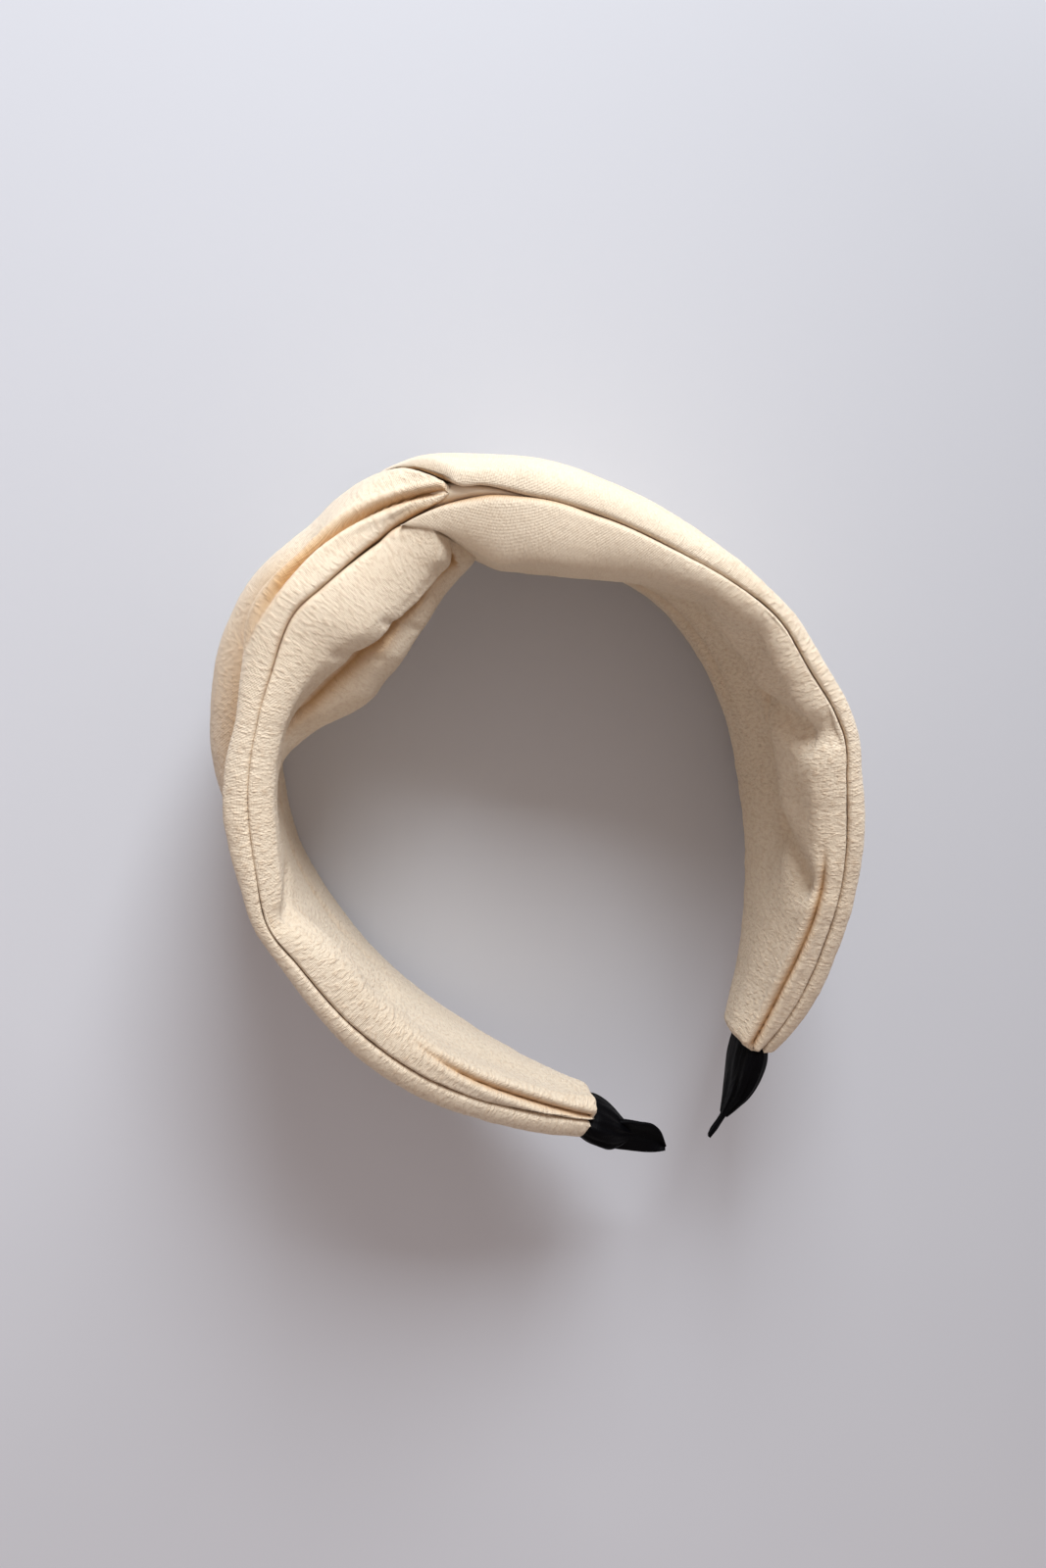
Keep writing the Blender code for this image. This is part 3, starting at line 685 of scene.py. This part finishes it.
def inner_left():
    stations = (-11, -9, -4, 0, 3, 9, 14, 25, 32, 38, 45, 51, 57, 77, 86, 90, 96, 104, 119, 145, 178)
    shares = (0.0, 0.04, 0.08, 0.115, 0.15, 0.19, 0.26, 0.34, 0.5, 0.75, 0.93)
    face = (
        (8.2, 8.3, 8.4, 8.4, 8.5, 8.6, 8.8, 8.0, 5.0, 3.8, 3.2),
        (8.6, 8.7, 8.9, 9.1, 9.4, 9.8, 10.4, 10.2, 5.4, 4.0, 3.4),
        (7.0, 7.8, 8.4, 8.8, 8.4, 9.4, 11.8, 12.9, 9.0, 4.6, 4.0),
        (7.0, 8.0, 9.0, 9.8, 9.0, 10.0, 13.0, 14.4, 12.0, 5.0, 4.4),
        (7.4, 8.4, 9.8, 10.8, 9.8, 10.8, 14.4, 15.6, 14.6, 8.0, 5.0),
        (7.6, 9.2, 11.0, 12.2, 11.4, 13.8, 16.8, 17.6, 17.4, 12.0, 7.0),
        (7.8, 9.8, 11.8, 13.0, 12.2, 15.0, 18.0, 18.6, 18.4, 13.6, 8.0),
        (8.5, 11.0, 13.0, 14.0, 13.4, 17.0, 19.8, 20.2, 19.4, 14.2, 8.0),
        (7.4, 9.4, 11.2, 12.0, 11.8, 15.8, 19.0, 19.6, 19.2, 14.2, 8.0),
        (6.0, 7.2, 8.2, 8.8, 9.2, 13.8, 17.8, 18.8, 18.6, 14.0, 8.0),
        (5.2, 5.5, 5.6, 5.7, 6.6, 10.4, 13.8, 15.2, 15.6, 13.0, 7.8),
        (4.9, 5.1, 5.2, 5.3, 5.5, 6.8, 9.4, 10.2, 8.6, 6.0, 4.5),
        (4.8, 5.0, 5.1, 5.1, 5.1, 5.3, 6.0, 6.2, 5.2, 4.2, 3.4),
        (4.6, 4.9, 5.1, 5.2, 5.1, 4.9, 4.6, 4.4, 4.1, 3.6, 3.0),
        (4.0, 4.3, 4.5, 4.6, 4.5, 4.4, 4.3, 4.2, 4.0, 3.6, 3.0),
        (3.4, 3.8, 4.1, 4.4, 4.5, 4.3, 3.9, 3.8, 4.0, 3.8, 3.2),
        (4.6, 5.2, 5.8, 6.2, 6.3, 5.8, 4.6, 4.3, 4.6, 4.6, 3.8),
        (6.2, 7.0, 7.6, 7.9, 7.9, 7.2, 5.3, 4.7, 5.2, 5.4, 4.4),
        (5.8, 6.5, 7.1, 7.4, 7.5, 7.0, 5.6, 5.0, 5.6, 5.8, 4.6),
        (5.2, 5.8, 6.2, 6.4, 6.4, 6.2, 5.8, 5.6, 5.8, 5.4, 4.4),
        (4.6, 4.9, 5.0, 5.2, 5.3, 5.4, 5.5, 5.6, 5.6, 5.2, 4.2),
    )
    back = (
        (6.4, 6.4, 7.0, 7.6, 2.4, 1.1, 0.6, 0.3),
        (5.8, 5.8, 6.4, 7.2, 2.4, 1.1, 0.6, 0.3),
        (1.6, 1.8, 2.6, 4.0, 2.4, 1.1, 0.6, 0.3),
        (-1.2, -0.8, 0.4, 2.0, 2.2, 1.1, 0.6, 0.3),
        (-2.2, -1.8, -0.4, 1.1, 2.0, 1.6, 1.0, 0.4),
        (-1.4, -0.8, 0.2, 1.1, 1.1, 1.1, 0.6, 0.3),
        (-0.6, -0.2, 0.4, 1.1, 1.1, 1.1, 0.5, 0.2),
    ) + (ON_HOOP,) * 14
    lead = ((0.0, 0.05, 0.1, 0.14, 0.18, 0.24, 0.35, 0.5, 0.62, 0.8, 1.0),
            (-2.4, -3.8, -4.6, -4.8, -6.5, -10.5, -11.0, -6.0, -2.0, 1.0, 2.0))
    creases = (
        {"by": "share", "a": (-4, 3, 9, 14, 25, 32, 38, 44, 54),
         "at": (0.16,) * 9,
         "drop": (1.8, 2.2, 2.2, 2.2, 2.2, 2.2, 2.0, 1.5, 0.0), "width": 0.5, "shade": (2.6,) * 9},
        {"by": "height", "a": (128, 145, 160, 178), "at": (6.4, 5.4, 4.6, 2.6),
         "drop": (0.0, 1.6, 2.2, 2.0), "width": 0.45},
        {"by": "share", "a": (88, 98, 122, 142), "at": (0.235, 0.235, 0.25, 0.27),
         "drop": (0.0, 0.9, 0.9, 0.0), "width": 1.2, "tint": 0.7, "shade": (3.0,) * 4},
        {"by": "share", "a": (30, 50, 90, 130), "at": (0.60, 0.60, 0.62, 0.66),
         "drop": (0.0, 1.0, 0.9, 0.0), "width": 1.4, "tint": 0.4},
    )
    dents = (
        {"line": ((90, 0), (84, 22)), "drop": 1.2, "width": 2.6},
        {"line": ((18, 4), (12, 14)), "drop": 0.5, "width": 1.2},
        {"line": ((31, 3), (26, 12)), "drop": 0.5, "width": 1.4},
        {"line": ((112, 6), (124, 30)), "drop": 0.9, "width": 3.4},
    )
    return Leg("inner_leg_left", -1, -1, stations, shares, face, back, lead, EDGE_LEFT,
               ridge=0.16, creases=creases, dents=dents, seed=40)


# ---------------------------------------------------------------- lofted pieces

def loft(name, rings, material, flip, fold_shade=None, crinkled=None):
    """A closed tube through rings of (s, r, z) points, with a flat cap at each end."""
    count, loop = rings.shape[:2]
    points = place(rings[..., 0], rings[..., 1], rings[..., 2])
    faces = tube_faces(count, loop, flip)
    first = list(range(loop))
    last = list(range((count - 1) * loop, count * loop))
    faces.append(first[::-1] if flip else first)
    faces.append(last if flip else last[::-1])
    steps = np.linalg.norm(np.diff(rings[..., 1:], axis=1), axis=-1)
    around = np.concatenate([np.zeros((count, 1)), np.cumsum(steps, axis=1)], axis=1)
    uvs = np.stack([np.abs(rings[..., 0]) + 40.0, around], axis=-1) * MM
    return new_mesh_object(name, points, faces, material, uvs, fold_shade, crinkled)


def knot_bight(name, edge, material):
    """The fold of one tube round an edge of the hoop, as it shows between the other tube's layers.

    edge is 1 at the upper edge, where it runs on to the right, and -1 at the lower edge.
    """
    count, loop = 72, 40
    s = np.linspace(-4.0, 24.0, count)[:, None]
    keys = (-4.0, 0.0, 5.0, 11.0, 16.0, 21.0, 24.0)
    height = spline(keys, (3.4, 3.9, 4.1, 3.6, 2.3, 0.9, 0.6), s)
    top = spline(keys, (49.6, 51.2, 53.6, 56.5, 58.1, 59.0, 58.9), s)
    half_r = spline(keys, (0.8, 1.6, 2.2, 1.95, 1.45, 0.6, 0.25), s)
    low = 44.2
    angle = np.linspace(0, math.tau, loop, endpoint=False)[None, :]
    r = height + half_r * np.cos(angle)
    z = (top + low) / 2 + (top - low) / 2 * np.sign(np.sin(angle)) * np.abs(np.sin(angle)) ** 0.8
    z = z + 0.12 * value_noise(s / 1.6 + 9.0, angle * 2, 51)
    if edge < 0:
        z = 2 * BAND_MIDDLE - z
    rings = np.stack(np.broadcast_arrays(s * edge, r, z), axis=-1)
    # painted shade on the half that faces the band's middle, and all round near its start under the
    # other tube
    fold_shade = 0.7 - 0.7 * smooth((np.sin(angle) + 0.2) / 0.8) * smooth((s + 1.0) / 6.0)
    return loft(name, rings, material, True, fold_shade, 0.3 + 0 * fold_shade)


def oval(angle, half_r, half_z, power=0.85):
    """Points of a rounded oval, half_r outward and half_z up."""
    r = half_r * np.sign(np.cos(angle)) * np.abs(np.cos(angle)) ** power
    z = half_z * np.sign(np.sin(angle)) * np.abs(np.sin(angle)) ** power
    return r, z


def end_wrap(side_name, side, table, material):
    """The gathered satin over the hoop's end. table rows are (a, shift, half_r, half_z)."""
    keys, shift, half_r, half_z = zip(*table)
    count, loop = 90, 96
    a = np.linspace(keys[0], keys[-1], count)[:, None]
    angle = np.linspace(0, math.tau, loop, endpoint=False)[None, :]
    r, z = oval(angle, spline(keys, half_r, a), spline(keys, half_z, a))
    gather = smooth((a - keys[0]) / (keys[-1] - keys[0]))
    pleats = 0.055 * np.cos(9 * angle + 0.10 * a + side) + 0.035 * np.cos(17 * angle - 0.16 * a)
    folds = 0.05 * value_noise(a / 5.0, angle * 1.9 + side, 61)
    swell = 1 + pleats * (0.25 + 0.9 * gather) + folds * (1 - np.cos(angle) ** 8)
    r = spline(keys, shift, a) + r * swell
    z = BAND_MIDDLE + z * swell
    return loft("end_wrap_" + side_name, np.stack(np.broadcast_arrays(side * a, r, z), axis=-1),
                material, side > 0)


def end_tail(side_name, side, table, twist, cup, material):
    """The wrap's flat loose end. table rows are (a, shift, half width, half thickness)."""
    keys, shift, wide, thick = zip(*table)
    count, loop = 56, 48
    a = np.linspace(keys[0], keys[-1], count)[:, None]
    angle = np.linspace(0, math.tau, loop, endpoint=False)[None, :]
    flat_r, flat_z = oval(angle, spline(keys, thick, a), spline(keys, wide, a), 0.7)
    across = flat_z / np.maximum(spline(keys, wide, a), 0.05)
    flat_r = flat_r + cup * (across**2 - 0.4) + 0.16 * np.cos(5 * across + 0.5 * a)
    part = (a - keys[0]) / (keys[-1] - keys[0])
    turn = np.radians(twist) * (0.75 + 0.25 * part)
    r = spline(keys, shift, a) + flat_r * np.cos(turn) - flat_z * np.sin(turn)
    z = BAND_MIDDLE + flat_r * np.sin(turn) + flat_z * np.cos(turn)
    return loft("end_tail_" + side_name, np.stack(np.broadcast_arrays(side * a, r, z), axis=-1),
                material, side > 0)


WRAP_RIGHT = (
    (176.6, 0.6, 3.1, 7.6), (179.5, 1.2, 3.7, 8.4), (183.0, 1.9, 3.7, 8.1), (187.0, 2.6, 3.0, 7.2),
    (190.5, 3.0, 2.2, 5.7), (193.5, 3.1, 1.5, 3.6), (196.3, 3.1, 0.8, 1.7),
)
TAIL_RIGHT = (
    (195.4, 3.1, 1.3, 0.55), (198.0, 3.0, 1.4, 0.45), (201.0, 2.8, 1.5, 0.5), (202.4, 2.7, 1.1, 0.3),
)
WRAP_LEFT = (
    (176.6, 0.3, 3.9, 7.8), (179.5, 0.6, 4.7, 8.7), (182.5, 1.2, 4.5, 7.8), (185.0, 1.9, 3.9, 6.0),
    (187.0, 2.2, 2.9, 3.9), (189.0, 2.1, 1.5, 1.9),
)
TAIL_LEFT = (
    (183.0, 2.2, 3.0, 1.5), (186.0, 2.3, 4.4, 1.2), (190.0, 2.0, 4.6, 0.9),
    (193.6, 1.8, 4.1, 0.8), (196.2, 2.3, 2.6, 0.6), (198.2, 3.3, 0.5, 0.3),
)


# ---------------------------------------------------------------- materials

class Nodes:
    """A material's node tree, with short ways to add to it."""

    def __init__(self, name):
        self.material = bpy.data.materials.new(name)
        self.material.use_nodes = True
        self.tree = self.material.node_tree
        self.shader = self.tree.nodes["Principled BSDF"]

    def add(self, kind, inputs=None, **settings):
        node = self.tree.nodes.new(kind)
        for key, value in settings.items():
            setattr(node, key, value)
        for key, value in (inputs or {}).items():
            if isinstance(value, bpy.types.NodeSocket):
                self.tree.links.new(value, node.inputs[key])
            else:
                node.inputs[key].default_value = value
        return node

    def math(self, operation, first, second=0.0, third=0.0):
        inputs = {0: first, 1: second, 2: third}
        return self.add("ShaderNodeMath", inputs, operation=operation).outputs[0]

    def noise(self, vector, stretch, detail=2.0, distortion=0.0):
        mapping = self.add("ShaderNodeMapping", {"Vector": vector, "Scale": stretch})
        inputs = {"Vector": mapping.outputs[0], "Scale": 1.0, "Detail": detail, "Distortion": distortion}
        return self.add("ShaderNodeTexNoise", inputs).outputs["Fac"]

    def mix(self, factor, first, second):
        """Colour mixed from first to second."""
        node = self.add("ShaderNodeMix", {"Factor": factor}, data_type="RGBA")
        for socket, value in ((node.inputs[6], first), (node.inputs[7], second)):
            if isinstance(value, bpy.types.NodeSocket):
                self.tree.links.new(value, socket)
            else:
                socket.default_value = value
        return node.outputs[2]

    def to_shader(self, **inputs):
        for key, value in inputs.items():
            socket = self.shader.inputs[key.replace("_", " ")]
            if isinstance(value, bpy.types.NodeSocket):
                self.tree.links.new(value, socket)
            else:
                socket.default_value = value


def crepe_material():
    """Cream crepe: crinkled across the strip and finely woven, with warm painted shade in its crinkles'
    hollows and in its folds.
    """
    nodes = Nodes("cream_crepe")
    cloth = nodes.add("ShaderNodeUVMap", uv_map="cloth").outputs[0]
    crinkle = nodes.noise(cloth, (1250.0, 620.0, 1.0), detail=3.0, distortion=0.15)
    hollow = nodes.math("MULTIPLY", nodes.math("SUBTRACT", 0.56, crinkle), 3.0)
    crinkled = nodes.add("ShaderNodeAttribute", attribute_name="crinkled").outputs["Fac"]
    hollow = nodes.math("MINIMUM", nodes.math("MAXIMUM", hollow, 0.0), 1.0)
    hollow = nodes.math("MULTIPLY", hollow, crinkled)
    pucker = nodes.noise(cloth, (300.0, 120.0, 1.0), detail=1.0, distortion=0.2)
    axes = nodes.add("ShaderNodeSeparateXYZ", {"Vector": cloth})
    twill = nodes.math("ADD", axes.outputs["X"], axes.outputs["Y"])
    weft = nodes.math("SINE", nodes.math("MULTIPLY", twill, 11800.0))
    counter_twill = nodes.math("SUBTRACT", axes.outputs["X"], axes.outputs["Y"])
    warp = nodes.math("SINE", nodes.math("MULTIPLY", counter_twill, 11800.0))
    grain = nodes.noise(cloth, (2500.0, 2000.0, 1.0), detail=1.0)
    weave = nodes.math("MULTIPLY", weft, warp)
    weave = nodes.math("MULTIPLY_ADD", nodes.math("SUBTRACT", grain, 0.5), 2.0, weave)
    height = nodes.math("MULTIPLY", hollow, -0.3)
    height = nodes.math("MULTIPLY_ADD", nodes.math("MULTIPLY", pucker, crinkled), 0.14, height)
    height = nodes.math("MULTIPLY_ADD", weave, 0.06, height)
    bump = nodes.add("ShaderNodeBump", {"Height": height, "Strength": 1.0, "Distance": MM})

    fold_shade = nodes.add("ShaderNodeAttribute", attribute_name="fold_shade").outputs["Fac"]
    patches = nodes.noise(cloth, (60.0, 60.0, 1.0), detail=2.0)
    colour = nodes.mix(patches, (0.89, 0.76, 0.58, 1), (0.95, 0.85, 0.69, 1))
    # painted shade: the crinkles' hollows darker and warmer
    colour = nodes.mix(nodes.math("MULTIPLY", hollow, 0.5), colour, (0.60, 0.41, 0.25, 1))
    thread = nodes.math("MULTIPLY_ADD", weave, 0.22, 0.14)
    colour = nodes.mix(thread, colour, (0.55, 0.40, 0.26, 1))
    # painted shade: warm ochre in the folds and creases, from the fold shade attribute
    colour = nodes.mix(nodes.math("MULTIPLY", fold_shade, 0.9), colour, (0.56, 0.295, 0.085, 1))
    # painted shade: dark brown at the deepest of the folds
    deepest = nodes.math("MULTIPLY", nodes.math("POWER", fold_shade, 5.0), 0.5)
    colour = nodes.mix(deepest, colour, (0.33, 0.15, 0.05, 1))
    roughness = nodes.math("MULTIPLY_ADD", hollow, 0.12, 0.78)
    nodes.to_shader(Base_Color=colour, Roughness=roughness, Normal=bump.outputs[0],
                    Specular_IOR_Level=0.4, Sheen_Weight=0.3, Sheen_Roughness=0.4,
                    Sheen_Tint=(1.0, 0.98, 0.95, 1.0))
    return nodes.material


def satin_material():
    """Black satin: a close cross rib, softly creased."""
    nodes = Nodes("black_satin")
    cloth = nodes.add("ShaderNodeUVMap", uv_map="cloth").outputs[0]
    axes = nodes.add("ShaderNodeSeparateXYZ", {"Vector": cloth})
    rib = nodes.math("SINE", nodes.math("MULTIPLY", axes.outputs["X"], 12500.0))
    creases = nodes.noise(cloth, (240.0, 900.0, 1.0), detail=2.0, distortion=0.6)
    height = nodes.math("MULTIPLY_ADD", rib, 0.012, nodes.math("MULTIPLY", creases, 0.22))
    bump = nodes.add("ShaderNodeBump", {"Height": height, "Strength": 1.0, "Distance": MM})
    colour = nodes.mix(creases, (0.0004, 0.0004, 0.0008, 1), (0.002, 0.002, 0.003, 1))
    roughness = nodes.math("MULTIPLY_ADD", creases, 0.22, 0.46)
    nodes.to_shader(Base_Color=colour, Roughness=roughness, Normal=bump.outputs[0],
                    Specular_IOR_Level=0.05)
    return nodes.material


def plastic_material():
    """The hoop's moulded plastic: milky, with a faint flow grain."""
    nodes = Nodes("hoop_plastic_milky")
    place_in = nodes.add("ShaderNodeTexCoord").outputs["Object"]
    grain = nodes.noise(place_in, (900.0, 900.0, 300.0), detail=3.0)
    bump = nodes.add("ShaderNodeBump", {"Height": grain, "Strength": 0.5, "Distance": 0.04 * MM})
    colour = nodes.mix(grain, (0.66, 0.62, 0.54, 1), (0.74, 0.70, 0.62, 1))
    nodes.to_shader(Base_Color=colour, Roughness=nodes.math("MULTIPLY_ADD", grain, 0.15, 0.32),
                    Normal=bump.outputs[0], IOR=1.49)
    return nodes.material


def floor_material():
    nodes = Nodes("pale_floor")
    place_in = nodes.add("ShaderNodeTexCoord").outputs["Object"]
    clouds = nodes.noise(place_in, (9.0, 9.0, 9.0), detail=3.0)
    axes = nodes.add("ShaderNodeSeparateXYZ", {"Vector": place_in})
    # painted light and shade: a little paler towards the left and the front, darker towards the right
    # and the back
    across = nodes.math("MULTIPLY", axes.outputs["X"], 3.2)
    slant = nodes.math("ADD", across, nodes.math("MULTIPLY", axes.outputs["Y"], 1.2))
    painted_floor_shade = nodes.math("MINIMUM", nodes.math("MAXIMUM", nodes.math("ADD", slant, 0.42), 0.0), 1.0)
    pale = nodes.mix(clouds, (0.62, 0.645, 0.705, 1), (0.66, 0.685, 0.74, 1))
    colour = nodes.mix(painted_floor_shade, pale, (0.45, 0.465, 0.505, 1))
    nodes.to_shader(Base_Color=colour, Roughness=0.55, Specular_IOR_Level=0.2)
    return nodes.material


# ---------------------------------------------------------------- surroundings

def add_floor():
    bpy.ops.mesh.primitive_plane_add(size=6.0, location=(0, 0, 0))
    floor = bpy.context.active_object
    floor.name = "floor"
    floor.data.materials.append(floor_material())


def add_area_light(name, location, target, size, power, colour):
    data = bpy.data.lights.new(name, "AREA")
    data.shape = "RECTANGLE"
    data.size = size[0]
    data.size_y = size[1]
    data.energy = power
    data.color = colour
    light = bpy.data.objects.new(name, data)
    light.location = location
    bpy.context.scene.collection.objects.link(light)
    direction = Vector(target) - light.location
    light.rotation_euler = direction.to_track_quat("-Z", "Y").to_euler()


def add_lights():
    add_area_light("window", (0.33, 0.55, 0.42), (0.0, 0.06, 0.02), (0.35, 0.36), 7.6, (0.93, 0.97, 1.0))
    world = bpy.data.worlds.new("studio")
    world.use_nodes = True
    background = world.node_tree.nodes["Background"]
    background.inputs["Color"].default_value = (1.0, 0.84, 0.78, 1.0)
    background.inputs["Strength"].default_value = 0.46
    bpy.context.scene.world = world


def add_camera():
    data = bpy.data.cameras.new("camera")
    data.sensor_fit = "VERTICAL"
    data.sensor_height = 36.0
    data.lens = 32.6
    data.clip_start = 0.01
    camera = bpy.data.objects.new("camera", data)
    bpy.context.scene.collection.objects.link(camera)
    # the axes of the view: its right, its up and the way back to the lens
    right = Vector((0.9076, -0.4081, 0.0985))
    up = Vector((0.4195, 0.8916, -0.1706))
    back = right.cross(up)
    rotation = Matrix((right, up, back)).transposed()
    camera.matrix_world = Matrix.Translation((-0.0076, 0.0705, 0.3319)) @ rotation.to_4x4()
    bpy.context.scene.camera = camera


# ---------------------------------------------------------------- the whole

BLEND_START = 30.0
BLEND_END = 74.0


def add_legs(crepe):
    plans = (
        (outer_right(), "right", "outer"),
        (outer_left(), "left", "outer"),
        (inner_right(), "right", "inner"),
        (inner_left(), "left", "inner"),
    )
    for leg, side_name, layer_name in plans:
        obj = leg.build(crepe)
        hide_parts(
            "%s_leg_crown_%s" % (layer_name, side_name), "%s_leg_arm_%s" % (layer_name, side_name),
        )
        start = place(leg.side * BLEND_START, 0, BAND_MIDDLE)
        end = place(leg.side * BLEND_END, 0, BAND_MIDDLE)
        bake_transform(obj)


def add_bights(crepe):
    for side_name, edge in (("left", 1), ("right", -1)):
        obj = knot_bight("bight_" + side_name, edge, crepe)
        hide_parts("knot_bight_" + side_name)
        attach(obj, "crown")


def add_tips(satin):
    plans = (
        ("right", 1, WRAP_RIGHT, TAIL_RIGHT, 12.0, 0.0),
        ("left", -1, WRAP_LEFT, TAIL_LEFT, 78.0, 0.9),
    )
    for side_name, side, wrap_table, tail_table, twist, cup in plans:
        wrap = end_wrap(side_name, side, wrap_table, satin)
        tail = end_tail(side_name, side, tail_table, twist, cup, satin)
        for obj, node in ((wrap, "end_wrap_" + side_name), (tail, "end_tail_" + side_name)):
            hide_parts(node)
            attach(obj, "arm_" + side_name)


def main():
    add_legs(crepe_material())
    add_bights(bpy.data.materials["cream_crepe"])
    add_tips(satin_material())
    plastic = plastic_material()
    for name in ("hoop_crown", "hoop_arm_left", "hoop_arm_right"):
        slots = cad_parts[name].data.materials
        slots.clear()
        slots.append(plastic)
    add_floor()
    add_lights()
    add_camera()
    bpy.context.scene.view_settings.view_transform = "Standard"


main()
